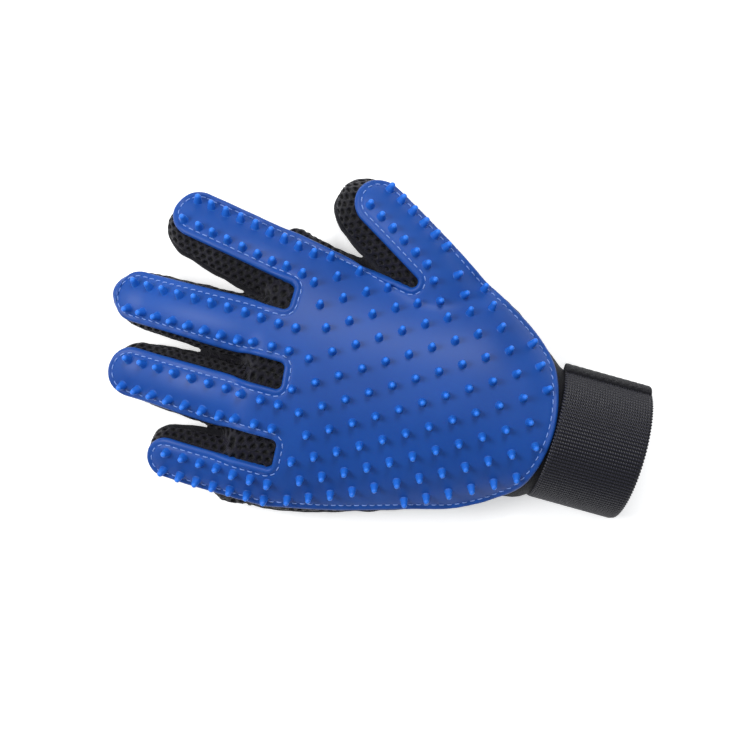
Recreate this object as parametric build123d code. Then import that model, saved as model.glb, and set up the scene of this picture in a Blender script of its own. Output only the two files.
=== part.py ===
"""Right-hand pet grooming glove, lying on its back with the palm up.

Frame: +X runs from the fingertips to the wrist, +Y points to the thumb side, +Z points up out of
the palm.  The origin is on the resting plane, under the middle of the palm.  Millimetres.
"""
import math
import os

from build123d import *

os.makedirs("parts", exist_ok=True)

# ---------------------------------------------------------------- driving dimensions
FABRIC = 1.5            # thickness of the sewn fabric shell
PAD = 2.2               # thickness of the moulded silicone pad
SEAM_HEIGHT = 13.0      # height of the side seam between palm fabric and back fabric
CUT_GAP = 0.3           # clearance between a finger and the palm at its hinge
EDGE_BAND = 2.8         # from the pad's edge to its line of stitches

# palm shell: (x, little-finger side, thumb side, crown height, underside height); what is below
# the resting plane is cut away, which leaves the back flat
PALM_STATIONS = [
    (-51.5, -80.5, 43.5, 36.0, -0.3),
    (-20.0, -77.5, 38.0, 36.0, -0.3),
    (15.0, -68.0, 37.5, 36.0, -0.3),
    (45.0, -57.5, 38.5, 36.0, -0.3),
    (64.0, -47.5, 26.5, 35.4, -0.3),
    (79.0, -38.5, 12.7, 34.1, 1.7),
]
THUMB_CLEAR = 22.0      # the palm stops here beside the thumb, across the thumb's direction
LINING_START = 67.0     # where the hexagonal mesh ends and the smooth cuff lining begins

# wrist cuff and strap, as rings about one axis along X
CUFF_Y = -12.9
CUFF_Z = 8.0
CUFF_END = 116.4
STRAP_START = 79.4
STRAP_END = 117.4
WEBBING = 1.6
PATCH = 1.0             # thickness of a hook or loop patch
CUFF_RADIUS = 26.1      # outer radius of the cuff fabric over the palm side of the wrist
TAIL_RADIUS = 30.0      # outer radius of the closed strap tail
TAIL_FOLD = 170.0       # angle of the fold at the little-finger side, from +Y about the cuff axis
TAIL_TIP = 14.0         # angle of the tail's bound end
HEM_RADIUS = 1.9        # rolled hem round the end of the tail
HEM_COVER = 29.0        # the hem's tape reaches back over the tail to this angle
HEM_TAPE = 1.1          # thickness of that tape
PATCH_TIP = 24.0        # the patches stop short of the tail's bound end
PATCH_FOLD = 120.0

# pins
PALM_PIN = dict(base=1.5, top=1.15, height=4.4)
FINGER_PIN = dict(base=1.8, top=1.35, height=4.4)
PIN_ROOT = 1.2          # how far a pin's foot sinks into the pad
LOBE_MARGIN = 3.0       # a lobe's cut at its hinge is wider than the lobe by this on each side
PALM_PITCH = 10.0       # square grid of palm pins
PALM_TURN = 31.5        # the grid is turned this much about +Z
PALM_PIN_AT = (-4.3, -8.9)
ARCH_RADIUS = 78.0      # mean radius of the palm's arch, round which the grid is wrapped
FINGER_ROWS = -34.0     # the grid stops here and at this distance along the thumb
THUMB_ROWS = 8.0
PIN_SPACING = 5.5       # least distance from a palm pin to a pin of a finger's rows
PIN_MARGIN = 4.6        # least distance from a palm pin to the pad's edge

# stitches
STITCH_LENGTH = 2.4
STITCH_WIDTH = 0.55
STITCH_PITCH = 3.3
HINGE_MARGIN = 2.0      # no stitch is nearer to a hinge than this


class Finger:
    """A finger sleeve: elliptical sections along a straight line in plan, drooping to the tip.

    angle: direction in plan, from -X towards +Y.  lateral: sideways place of the sleeve's centre
    line.  roll: lean of the palm side towards +Y.  rows: (distance, half width, half thickness,
    centre height).  tip: end of the sleeve.  hinge: where the finger bends from the palm.
    pad_*: plan of its silicone lobe.  pin_*: its two rows of pins, and root_count the pairs of
    them on the palm's side of the hinge.
    """

    def __init__(self, name, angle, lateral, roll, rows, tip, hinge,
                 pad_lateral, pad_half, pad_root, pad_tip, pin_row, pin_pitch, pin_first, pin_count, root_count):
        self.name = name
        self.along = Vector(-math.cos(math.radians(angle)), math.sin(math.radians(angle)), 0)
        self.side = Vector(math.sin(math.radians(angle)), math.cos(math.radians(angle)), 0)
        self.lateral = lateral
        self.rows = rows
        self.tip = tip
        self.hinge = hinge
        self.pad_lateral = pad_lateral
        self.pad_half = pad_half
        self.pad_root = pad_root
        self.pad_tip = pad_tip
        self.pin_row = pin_row
        self.pin_pitch = pin_pitch
        self.pin_first = pin_first
        self.pin_count = pin_count
        self.root_count = root_count
        lean = math.radians(roll)
        up = Vector(0, 0, 1)
        self.normal = self.side * math.sin(lean) + up * math.cos(lean)
        self.across = self.side * math.cos(lean) - up * math.sin(lean)

    def row_at(self, distance, grow):
        """Half width, half thickness and centre height at a distance, grown by an offset."""
        (s0, *v0), (s1, *v1), (s2, *v2) = self.rows
        s = min(max(distance, s0), s2)
        w0 = (s - s1) * (s - s2) / ((s0 - s1) * (s0 - s2))
        w1 = (s - s0) * (s - s2) / ((s1 - s0) * (s1 - s2))
        w2 = (s - s0) * (s - s1) / ((s2 - s0) * (s2 - s1))
        width, thick, height = (w0 * p + w1 * q + w2 * r for p, q, r in zip(v0, v1, v2))
        width += grow
        thick += grow
        if distance > s2:
            share = (distance - s2) / (self.tip + grow - s2)
            shrink = math.sqrt(max(1.0 - share * share, 0.01))
            width *= shrink
            thick *= shrink
        return width, thick, height

    def centre(self, distance, height):
        point = self.along * distance + self.side * self.lateral
        return Vector(point.X, point.Y, height)

    def sleeve(self, grow, start):
        """The closed solid of the sleeve, grown by an offset, from start to the tip."""
        last = self.rows[2][0]
        span = self.tip + grow - last
        middle = self.rows[1][0]
        straight = [start, (start + middle) / 2, middle, (middle + last) / 2, last]
        cap = [last] + [last + span * share for share in (0.45, 0.75, 0.92, 0.99)]
        return (loft([self.section(distance, grow) for distance in straight])
                + loft([self.section(distance, grow) for distance in cap], ruled=True))

    def section(self, distance, grow):
        """Closed elliptical face across the sleeve."""
        width, thick, height = self.row_at(distance, grow)
        place = Plane(self.centre(distance, height), x_dir=self.across, z_dir=self.along)
        return (place * Ellipse(width, thick)).face()

    def surface(self, distance, sideways, grow):
        """Point and outward normal on the palm side of the sleeve."""
        width, thick, height = self.row_at(distance, grow)
        rise = thick * math.sqrt(max(1.0 - (sideways / width) ** 2, 0.0))
        point = self.centre(distance, height) + self.across * sideways + self.normal * rise
        lean = self.across * (sideways / width ** 2) + self.normal * (rise / thick ** 2)
        ahead_row = self.row_at(distance + 0.5, grow)
        slope = (ahead_row[2] + ahead_row[1] - height - thick) / 0.5
        return point, (lean.normalized() - self.along * slope).normalized()

    def place(self, x, y):
        """Distance along and sideways of a point in plan, measured from the pad's lobe."""
        point = Vector(x, y, 0)
        return point.dot(self.along), point.dot(self.side) - self.pad_lateral

    def hinge_plane(self, beyond):
        origin = self.centre(self.hinge + beyond, 0)
        return Plane(origin, x_dir=self.side, z_dir=self.along)


FINGERS = [
    Finger("index", 10.0, 14.4, 31.0,
           [(46.0, 15.8, 10.8, 12.7), (75.0, 16.2, 10.8, 12.8), (90.0, 14.5, 9.5, 11.5)],
           107.5, 61.5, 20.1, 10.4, 31.0, 105.5, 5.6, 7.5, 3.75, 6, 3),
    Finger("middle", 0.0, -5.2, 8.0,
           [(44.0, 13.4, 12.2, 22.1), (80.0, 13.4, 11.0, 18.2), (103.0, 12.6, 8.8, 10.2)],
           116.0, 62.0, -4.6, 10.6, 30.0, 116.8, 5.3, 7.8, 3.8, 7, 4),
    Finger("ring", 0.0, -34.9, -11.0,
           [(44.0, 14.4, 12.0, 20.6), (76.0, 14.2, 11.0, 17.2), (97.0, 12.6, 8.8, 10.2)],
           109.6, 60.0, -36.6, 10.2, 28.0, 110.4, 5.2, 7.6, 3.7, 6, 4),
    Finger("little", 0.0, -64.4, -31.0,
           [(42.0, 14.2, 9.8, 11.9), (64.0, 14.0, 9.8, 12.0), (74.0, 12.6, 9.2, 11.2)],
           85.2, 56.2, -67.8, 8.4, 29.5, 83.7, 4.1, 7.5, 3.8, 3, 4),
    Finger("thumb", 31.0, 39.0, 31.0,
           [(-16.0, 13.0, 8.0, 12.6), (22.0, 16.6, 11.3, 14.2), (46.0, 16.2, 10.6, 13.4)],
           62.4, 22.9, 43.9, 10.7, -12.0, 55.6, 6.8, 6.8, 3.4, 4, 2),
]

# palm pad: plan of its edge from the little finger's root round the heel to the thumb's root
PAD_EDGE = [
    (-30.0, -76.2), (0.0, -69.6), (30.0, -61.0), (51.0, -55.0), (66.0, -45.5), (75.5, -34.0),
    (79.2, -12.0), (74.8, 9.9), (65.5, 22.8), (46.5, 35.6), (20.3, 52.1),
]
PAD_WEBS = [            # edge of the pad between the fingers, thumb side first
    [(8.5, 33.0), (8.5, 29.0), (-44.0, 38.3)],
    [(-40.6, 14.8), (-40.5, 6.2)],
    [(-35.4, -16.0), (-34.4, -26.2)],
    [(-30.4, -47.5), (-30.2, -59.0)],
]


# ---------------------------------------------------------------- palm shell
def hand_section(x, low, high, crown, under, grow):
    """Closed face across the hand: an arched palm side, round sides and a flat back."""
    low -= grow
    high += grow
    crown += grow
    under -= grow
    corner = SEAM_HEIGHT - under
    dip = corner * (1 - math.sqrt(0.5))
    arch = ThreePointArc((low, SEAM_HEIGHT), ((low + high) / 2, crown), (high, SEAM_HEIGHT))
    thumb_side = ThreePointArc((high, SEAM_HEIGHT), (high - dip, under + dip),
                               (high - corner, under))
    back = Line((high - corner, under), (low + corner, under))
    little_side = ThreePointArc((low + corner, under), (low + dip, under + dip),
                                (low, SEAM_HEIGHT))
    outline = make_face(Wire([arch.edge(), thumb_side.edge(), back.edge(), little_side.edge()]))
    return (Plane((x, 0, 0), x_dir=(0, 1, 0), z_dir=(1, 0, 0)) * outline).face()


def palm_solid(grow):
    """The palm and cuff as one closed solid, grown by an offset and open at neither end."""
    faces = []
    for x, low, high, crown, under in PALM_STATIONS:
        first = x == PALM_STATIONS[0][0]
        faces.append(hand_section(x - grow if first else x, low, high, crown, under, grow))
    palm = loft(faces)
    wrist = extrude(faces[-1], CUFF_END - PALM_STATIONS[-1][0] + 4, dir=(1, 0, 0))
    return palm + wrist


def top_of(skin, x, y):
    """The highest point of a solid over a place in plan, and the outward normal there."""
    hits = skin.find_intersection_points(Axis((x, y, 0), (0, 0, 1)))
    point, normal = max(hits, key=lambda hit: hit[0].Z)
    return point, normal if normal.Z > 0 else normal * -1


# ---------------------------------------------------------------- plan of the pad
def lobe_plan(finger, grow=0.0):
    """Round-ended plan of a finger's silicone lobe, reaching back into the palm."""
    half = finger.pad_half + grow
    start = finger.pad_root
    length = finger.pad_tip + grow - half - start
    middle = finger.along * (start + length / 2) + finger.side * finger.pad_lateral
    strip = Rectangle(length, 2 * half)
    head = Pos(length / 2, 0) * Circle(half)
    return Plane(middle, x_dir=finger.along, z_dir=(0, 0, 1)) * (strip + head)


def palm_plan():
    first = PAD_WEBS[0]
    edge = Spline(*PAD_EDGE)
    corners = [PAD_EDGE[-1]] + first + PAD_WEBS[1] + PAD_WEBS[2] + PAD_WEBS[3] + [PAD_EDGE[0]]
    return make_face(Wire([edge.edge()] + Polyline(*corners).edges()))


def pad_plan():
    """Plan of the whole pad: palm and five lobes."""
    plan = palm_plan()
    for finger in FINGERS:
        plan += lobe_plan(finger)
    return plan


def upper_half(finger):
    """Everything on the palm side of a finger's seam."""
    root, tip = finger.rows[0], finger.rows[2]
    start = finger.centre(root[0], root[3])
    end = finger.centre(tip[0], tip[3])
    slope = (end - start).normalized()
    block = Box(200, 120, 60, align=(Align.CENTER, Align.CENTER, Align.MIN))
    return Plane(start, x_dir=slope, z_dir=finger.across.cross(slope)) * block


def beyond_hinge(finger, offset, width=58.0, shift=0.0):
    """The space beyond a finger's hinge plane, its middle moved sideways by a shift."""
    plane = finger.hinge_plane(offset)
    block = Pos(shift, 0, 0) * Box(width, 200, 120, align=(Align.CENTER, Align.CENTER, Align.MIN))
    return plane * block


# ---------------------------------------------------------------- pins and stitches
def pin(point, normal, base, top, height):
    """A tapered pin with a round top, standing on the pad."""
    profile = Polyline((0, -PIN_ROOT), (base, -PIN_ROOT), (base, 0), (top, height - top))
    cap = ThreePointArc((top, height - top),
                        (top * math.sqrt(0.5), height - top + top * math.sqrt(0.5)), (0, height))
    spine = Line((0, height), (0, -PIN_ROOT))
    face = make_face(Wire(profile.edges() + [cap.edge(), spine.edge()]))
    solid = revolve(Plane.XZ * face, Axis.Z)
    return Plane(point, z_dir=normal) * solid


def finger_pins(finger):
    pins = []
    distance = finger.hinge + finger.pin_first
    for _ in range(finger.pin_count):
        for side in (-finger.pin_row, finger.pin_row):
            pins.append(pin(*finger.surface(distance, side, PAD), **FINGER_PIN))
        here = finger.surface(distance, 0, PAD)[0]
        ahead = finger.surface(distance + finger.pin_pitch, 0, PAD)[0]
        distance += finger.pin_pitch ** 2 / (ahead - here).length
    return pins


def root_pins(finger, skin):
    """The pins of the two rows that stand on the palm side of the hinge."""
    pins = []
    for step in range(finger.root_count):
        distance = finger.hinge - finger.pin_first - step * finger.pin_pitch
        for side in (-finger.pin_row, finger.pin_row):
            spot = finger.surface(distance, side, PAD)[0]
            pins.append(pin(*top_of(skin, spot.X, spot.Y), **FINGER_PIN))
    return pins


def palm_pins(plan, skin, taken):
    """The square grid of pins over the palm, clear of the pad's edge and of the finger rows."""
    face = plan.faces()[0]
    rim = edge_points(plan, 1.0)
    turn = math.radians(PALM_TURN)
    pins = []
    for i in range(-14, 15):
        for j in range(-14, 15):
            u = (i * math.cos(turn) - j * math.sin(turn)) * PALM_PITCH
            v = (i * math.sin(turn) + j * math.cos(turn)) * PALM_PITCH
            x = PALM_PIN_AT[0] + u
            y = PALM_PIN_AT[1] + ARCH_RADIUS * math.sin(v / ARCH_RADIUS)
            along, off = FINGERS[-1].place(x, y)
            on_thumb = along > THUMB_ROWS and abs(off) < FINGERS[-1].pad_half + 1.0
            if abs(v) > ARCH_RADIUS or x < FINGER_ROWS or on_thumb or not face.is_inside((x, y, 0)):
                continue
            if nearest(x, y, rim) < PIN_MARGIN:
                continue
            if nearest(x, y, taken) < PIN_SPACING:
                continue
            pins.append(pin(*top_of(skin, x, y), **PALM_PIN))
    return pins


def owner(x, y):
    """The finger that a place in plan belongs to, or None for the palm or a hinge's own gap."""
    for finger in FINGERS:
        distance, off = finger.place(x, y)
        if abs(off) < finger.pad_half + 1 and distance > finger.hinge - HINGE_MARGIN:
            return finger, distance
    return None, 0.0


def stitch(point, normal, run):
    run = (run - normal * run.dot(normal)).normalized()
    dash = Box(STITCH_LENGTH, STITCH_WIDTH, STITCH_WIDTH)
    return Plane(point, x_dir=run, z_dir=normal) * dash


def edge_points(plan, pitch):
    wire = plan.faces()[0].outer_wire()
    count = int(wire.length / pitch)
    return [wire.position_at(k / count) for k in range(count)]


def nearest(x, y, points):
    return min(math.hypot(x - point.X, y - point.Y) for point in points)


def inward(face, share):
    """Unit vector into the pad from its edge."""
    wire = face.outer_wire()
    run = wire.tangent_at(share)
    turn = Vector(-run.Y, run.X, 0)
    return turn if face.is_inside(wire.position_at(share) + turn) else turn * -1


def pad_stitches(plan, skin):
    """Dashes of thread along the pad's edge, sorted by the body that they belong to."""
    rim = edge_points(plan, 1.0)
    groups = {finger.name: [] for finger in FINGERS}
    groups["palm"] = []
    face = plan.faces()[0]
    wire = face.outer_wire()
    count = int(wire.length / STITCH_PITCH)
    for k in range(count):
        run = wire.tangent_at(k / count)
        at = wire.position_at(k / count) + inward(face, k / count) * EDGE_BAND
        if nearest(at.X, at.Y, rim) < EDGE_BAND - 0.4:
            continue
        finger, distance = owner(at.X, at.Y)
        if finger is None:
            groups["palm"].append(stitch(*top_of(skin, at.X, at.Y), run))
        elif distance > finger.hinge + HINGE_MARGIN:
            shift = (at - finger.centre(distance, 0)).dot(finger.side)
            off = sideways_on(finger, distance, shift)
            groups[finger.name].append(stitch(*finger.surface(distance, off, PAD), run))
    return groups


def sideways_on(finger, distance, shift):
    """Place across a rolled sleeve whose plan lies shift from the sleeve's centre line."""
    off = shift
    for _ in range(6):
        point, _normal = finger.surface(distance, off, PAD)
        off += shift - (point - finger.centre(distance, 0)).dot(finger.side)
    return off


# ---------------------------------------------------------------- wrist cuff and strap
def cuff_band(outer, inner, start, end):
    """A length of the cuff's section between two offsets."""
    station = PALM_STATIONS[-1][1:]
    band = hand_section(start, *station, outer) - hand_section(start, *station, inner)
    return extrude(band, end - start, dir=(1, 0, 0))


def ring_sector(inner, outer, first, last, start, end):
    """Part of a ring about the cuff's axis, between two angles measured from +Y."""
    centre = (CUFF_Y, CUFF_Z)
    outside = CenterArc(centre, outer, first, last - first).edge()
    inside = CenterArc(centre, inner, first, last - first).edge()
    ends = [Line(outside @ 0, inside @ 0).edge(), Line(outside @ 1, inside @ 1).edge()]
    face = make_face(Wire([outside, ends[1], inside, ends[0]]))
    return extrude(Plane((start, 0, 0), x_dir=(0, 1, 0), z_dir=(1, 0, 0)) * face,
                   end - start, dir=(1, 0, 0))


def on_ring(radius, angle, x):
    turn = math.radians(angle)
    return Vector(x, CUFF_Y + radius * math.cos(turn), CUFF_Z + radius * math.sin(turn))


def ring_stitches(radius, angle, start, end):
    """A row of dashes along X on a ring about the cuff's axis."""
    count = int((end - start) / STITCH_PITCH)
    turn = math.radians(angle)
    normal = Vector(0, math.cos(turn), math.sin(turn))
    return [stitch(on_ring(radius, angle, start + (k + 0.5) * STITCH_PITCH), normal, Vector(1, 0, 0))
            for k in range(count)]


def fixed_strap():
    """Webbing round the back of the wrist, with its doubled fold at the little-finger side."""
    below = Pos(0, 0, SEAM_HEIGHT) * Box(400, 200, 100, align=(Align.CENTER, Align.CENTER, Align.MAX))
    around = cuff_band(WEBBING, 0.0, STRAP_START, STRAP_END) & below
    fold = ring_sector(CUFF_RADIUS + 0.2, TAIL_RADIUS, TAIL_FOLD + 1.0, TAIL_FOLD + 18.0,
                       STRAP_START, STRAP_END)
    return around + (fold - cuff_band(0.0, -30.0, STRAP_START, STRAP_END))


def tail_binding():
    """The rolled hem of the tail's free end, with its tape turned back over the webbing."""
    at = on_ring(TAIL_RADIUS - WEBBING / 2, TAIL_TIP, (STRAP_START + STRAP_END) / 2)
    roll = Cylinder(HEM_RADIUS, STRAP_END - STRAP_START, rotation=(0, 90, 0))
    tape = ring_sector(TAIL_RADIUS, TAIL_RADIUS + HEM_TAPE, TAIL_TIP, HEM_COVER, STRAP_START, STRAP_END)
    return tape + Pos(at.X, at.Y, at.Z) * roll


# ---------------------------------------------------------------- whole glove
def piece(name, shape):
    """Write one sub-part to its own file."""
    solids = shape.solids() if hasattr(shape, "solids") else [s for part in shape for s in part.solids()]
    solids = [solid for solid in solids if solid.volume > 0.01]
    export_step(solids[0] if len(solids) == 1 else Compound(children=list(solids)),
                f"parts/{name}.step")


def build_finger(finger, threads):
    sleeve = finger.sleeve(0.0, finger.rows[0][0])
    cavity = finger.sleeve(-FABRIC, finger.rows[0][0])
    skin = finger.sleeve(PAD, finger.rows[0][0])
    beyond = beyond_hinge(finger, CUT_GAP / 2)
    upper = upper_half(finger)
    fabric = (sleeve - cavity) & beyond
    lobe = extrude(lobe_plan(finger), 80, dir=(0, 0, 1))
    pad = (skin - sleeve) & beyond & upper & lobe
    for peg in finger_pins(finger):
        pad += peg
    piece(f"{finger.name}_palm_mesh", fabric & upper)
    piece(f"{finger.name}_back_mesh", fabric - upper)
    piece(f"{finger.name}_pad", pad)
    piece(f"{finger.name}_pad_stitches", threads)


def thumb_clearance(grow):
    """The space beside the palm that the thumb fills beyond its hinge, open above and below."""
    thumb = FINGERS[-1]
    block = Box(80, 200, 120, align=(Align.MIN, Align.CENTER, Align.MIN))
    across = THUMB_CLEAR - thumb.lateral + min(grow, 0.0)
    return thumb.hinge_plane(-CUT_GAP / 2) * Pos(across, 0, 0) * block


def hand_solid(grow):
    """Palm, cuff and the roots of the fingers up to their hinges, as one closed solid."""
    solid = palm_solid(grow) - thumb_clearance(grow)
    for finger in FINGERS:
        solid += finger.sleeve(grow, finger.rows[0][0]) - beyond_hinge(finger, -CUT_GAP / 2)
    return solid


def build_palm(plan, skin, threads):
    outer = hand_solid(0.0)
    cavity = hand_solid(-FABRIC)
    low_half = Pos(0, 0, SEAM_HEIGHT) * Box(400, 300, 100, align=(Align.CENTER, Align.CENTER, Align.MAX))
    mitt_zone = Pos(LINING_START, 0, 0) * Box(200, 300, 200, align=(Align.MAX, Align.CENTER, Align.CENTER))
    end_zone = Pos(CUFF_END, 0, 0) * Box(400, 300, 200, align=(Align.MAX, Align.CENTER, Align.CENTER))
    above_table = Box(400, 300, 200, align=(Align.CENTER, Align.CENTER, Align.MIN))
    fabric = (outer - cavity) & end_zone & above_table
    mitt = fabric & mitt_zone
    piece("back_mesh", mitt & low_half)
    piece("palm_mesh", mitt - low_half)
    piece("cuff_lining", fabric - mitt_zone)

    pad = (skin - outer) & extrude(plan, 80, dir=(0, 0, 1))
    pad -= low_half
    for finger in FINGERS:
        width = 2 * (finger.pad_half + LOBE_MARGIN)
        pad -= beyond_hinge(finger, -CUT_GAP / 2, width, finger.pad_lateral - finger.lateral)
    rows = [peg for finger in FINGERS for peg in root_pins(finger, skin)]
    pegs = rows + palm_pins(plan, skin, [peg.center() for peg in rows])
    pad = max(pad.solids(), key=lambda solid: solid.volume)
    piece("palm_pad", pad.fuse(*[solid for peg in pegs for solid in peg.solids()]))
    piece("palm_pad_stitches", threads)


def build_strap():
    middle = (PATCH_TIP + PATCH_FOLD) / 2
    inset = 2.5
    loop_outer = CUFF_RADIUS + PATCH
    hook_outer = TAIL_RADIUS - WEBBING
    tail = ring_sector(hook_outer, TAIL_RADIUS, TAIL_TIP, TAIL_FOLD, STRAP_START, STRAP_END)
    piece("cuff_edge_binding", cuff_band(-FABRIC, -FABRIC - 0.8, CUFF_END - 4.0, CUFF_END))
    piece("strap_webbing", fixed_strap())
    piece("loop_patch", ring_sector(CUFF_RADIUS, loop_outer, PATCH_TIP - 2, PATCH_FOLD + 26,
                                    STRAP_START + 1.5, CUFF_END - 1.5))
    piece("loop_patch_stitches",
          [dash for angle in (PATCH_TIP, PATCH_FOLD + 24)
           for dash in ring_stitches(loop_outer, angle, STRAP_START + inset, CUFF_END - inset)])
    piece("strap_anchor_stitches", anchor_stitches())
    piece("strap_tail", tail)
    piece("hook_patch", ring_sector(hook_outer - PATCH, hook_outer, PATCH_TIP, PATCH_FOLD,
                                    STRAP_START + 1.5, STRAP_END - 1.5))
    piece("strap_end_binding", tail_binding() - tail)
    piece("strap_end_stitches",
          ring_stitches(TAIL_RADIUS + HEM_TAPE, HEM_COVER - 2.5, STRAP_START + 1.0, STRAP_END - 1.0))


def anchor_stitches():
    """Two rows of thread through the webbing at the thumb side of the cuff."""
    side = PALM_STATIONS[-1][2] + WEBBING
    count = int((STRAP_END - STRAP_START - 6.0) / STITCH_PITCH)
    dashes = []
    for k in range(count):
        x = STRAP_START + 3.0 + (k + 0.5) * STITCH_PITCH
        dashes.append(stitch(Vector(x, side, SEAM_HEIGHT - 1.0), Vector(0, 1, 0), Vector(1, 0, 0)))
    return dashes


plan = pad_plan()
skin = hand_solid(PAD)
threads = pad_stitches(plan, skin)
for finger in FINGERS:
    build_finger(finger, threads[finger.name])
build_palm(plan, skin, threads["palm"])
build_strap()
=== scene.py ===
"""Looks of the pet grooming glove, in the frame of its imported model.

Shapes are worked out in millimetres in the frame of part.py (+X to the wrist, +Y to the thumb side,
+Z out of the palm) and are scaled to metres when a piece is made.
"""

import math

import bmesh
import bpy
import numpy as np
from mathutils import Matrix, Vector, geometry, noise
from mathutils.bvhtree import BVHTree


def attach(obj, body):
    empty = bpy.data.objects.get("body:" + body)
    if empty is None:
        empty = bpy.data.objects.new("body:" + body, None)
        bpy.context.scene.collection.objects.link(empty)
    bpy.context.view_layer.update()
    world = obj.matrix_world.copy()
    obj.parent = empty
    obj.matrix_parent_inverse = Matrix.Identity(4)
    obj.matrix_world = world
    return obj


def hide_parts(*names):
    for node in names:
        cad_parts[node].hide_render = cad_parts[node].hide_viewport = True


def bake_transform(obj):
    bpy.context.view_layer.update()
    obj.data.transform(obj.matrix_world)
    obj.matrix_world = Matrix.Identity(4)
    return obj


MM = 0.001
UP = np.array((0.0, 0.0, 1.0))

# ---------------------------------------------------------------- dimensions, as in part.py
FABRIC = 1.4
PAD = 2.2
SEAM_HEIGHT = 13.0
EDGE_BAND = 2.8         # from the pad's edge to its line of stitches
CORNER_RADIUS = 2.4     # of the pad's inside corners between the fingers

# (x, little-finger side, thumb side, crown height, underside height)
PALM_STATIONS = np.array([
    (-51.5, -80.5, 43.5, 36.0, 0.0),
    (-20.0, -77.5, 38.0, 36.0, 0.0),
    (15.0, -68.0, 37.5, 36.0, 0.0),
    (45.0, -57.5, 38.5, 36.0, 0.0),
    (64.0, -47.5, 26.5, 35.4, 0.0),
    (79.0, -38.5, 12.7, 34.1, 1.7),
])
LINING_START = 67.0

CUFF_Y = -12.9
CUFF_Z = 8.0
CUFF_END = 116.4
CUFF_RADIUS = 26.1
STRAP_START = 79.4
STRAP_END = 117.4
WEBBING = 1.6
PATCH = 1.0
TAIL_RADIUS = 30.0
TAIL_FOLD = 170.0
TAIL_TIP = 14.0
HEM_RADIUS = 1.9
PATCH_TIP = 24.0
PATCH_FOLD = 120.0

PALM_PIN = (1.6, 1.2, 4.4)        # radius at the foot and below the dome, height
FINGER_PIN = (1.75, 1.3, 4.4)
PALM_PITCH = 10.0
PALM_TURN = 31.5
PALM_PIN_AT = (-4.3, -8.9)
ARCH_RADIUS = 78.0
FINGER_ROWS = -34.0
THUMB_ROWS = 8.0
PIN_SPACING = 5.5
PIN_MARGIN = 4.6
LOBE_REACH = 1.0        # a lobe's places reach this far past its sides

STITCH_LENGTH = 2.4
STITCH_WIDTH = 0.5
STITCH_PITCH = 3.3

# ---------------------------------------------------------------- dimensions of the looks
VOXEL = 1.0             # of the remeshed fabric skin
FLOOR_GAP = 0.05        # the fabric stays this far above the table
WEAVE_TURN = 24.0       # length before a finger over which the weave turns to run along it
PIN_SIDES = 18          # points round a pin, and rings of them up its height
PIN_RINGS = 11
HOLE_PITCH = 3.6        # hexagonal holes of the air mesh
HOLE_RADIUS = 1.0
HOLE_DEPTH = 1.0
SEAM_GROOVE = 0.8       # depth and half width of the sewn seams
SEAM_WIDTH = 1.0
RIB_PITCH = 1.45        # ribs of the webbing
RIB_HEIGHT = 0.28
YARN_PITCH = 1.1        # slanted yarns along each rib
FINGER_REACH = 1.9      # fabric this near a sleeve, in radii, belongs to the finger
THUMB_REACH = 1.2
CUFF_SLACK = 2.2        # the cuff's fabric bulges this much in front of the strap
NOSE = 8.0              # length over which the palm rounds down to the webs between the fingers
NOSE_WIDTH = 0.86       # share of the palm's width and height left at its front
NOSE_HEIGHT = 0.30
HEM_COVER = 29.0        # the hem's tape reaches back over the tail to this angle
HEM_TAPE = 1.1
BRISTLE = 0.12          # roughness of the hook and loop tapes
BAND_COLUMNS = 30       # points across the webbing and across the tapes
TAPE_COLUMNS = 44
CHANNEL = 1.98          # height over the fabric of the pad's sewing channel

# section of the pad's rim: distance in from the edge, height over the fabric
RIM = [(0.0, -0.4), (0.0, 0.9), (0.08, 1.5), (0.35, 2.05), (0.8, 2.38), (1.3, 2.45), (1.8, 2.36),
       (2.3, 2.12), (EDGE_BAND, CHANNEL), (3.3, 2.1), (3.9, 2.2), (5.0, PAD)]

PAD_EDGE = [
    (-30.0, -76.2), (0.0, -69.6), (30.0, -61.0), (51.0, -55.0), (66.0, -45.5), (75.5, -34.0),
    (79.2, -12.0), (74.8, 9.9), (65.5, 22.8), (46.5, 35.6), (20.3, 52.1),
]
PAD_WEBS = [            # line of the pad's edge between the fingers, thumb side first
    ((8.5, 33.0), (8.5, 29.0)),
    ((-40.6, 14.8), (-40.5, 6.2)),
    ((-35.4, -16.0), (-34.4, -26.2)),
    ((-30.4, -47.5), (-30.2, -59.0)),
]


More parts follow.
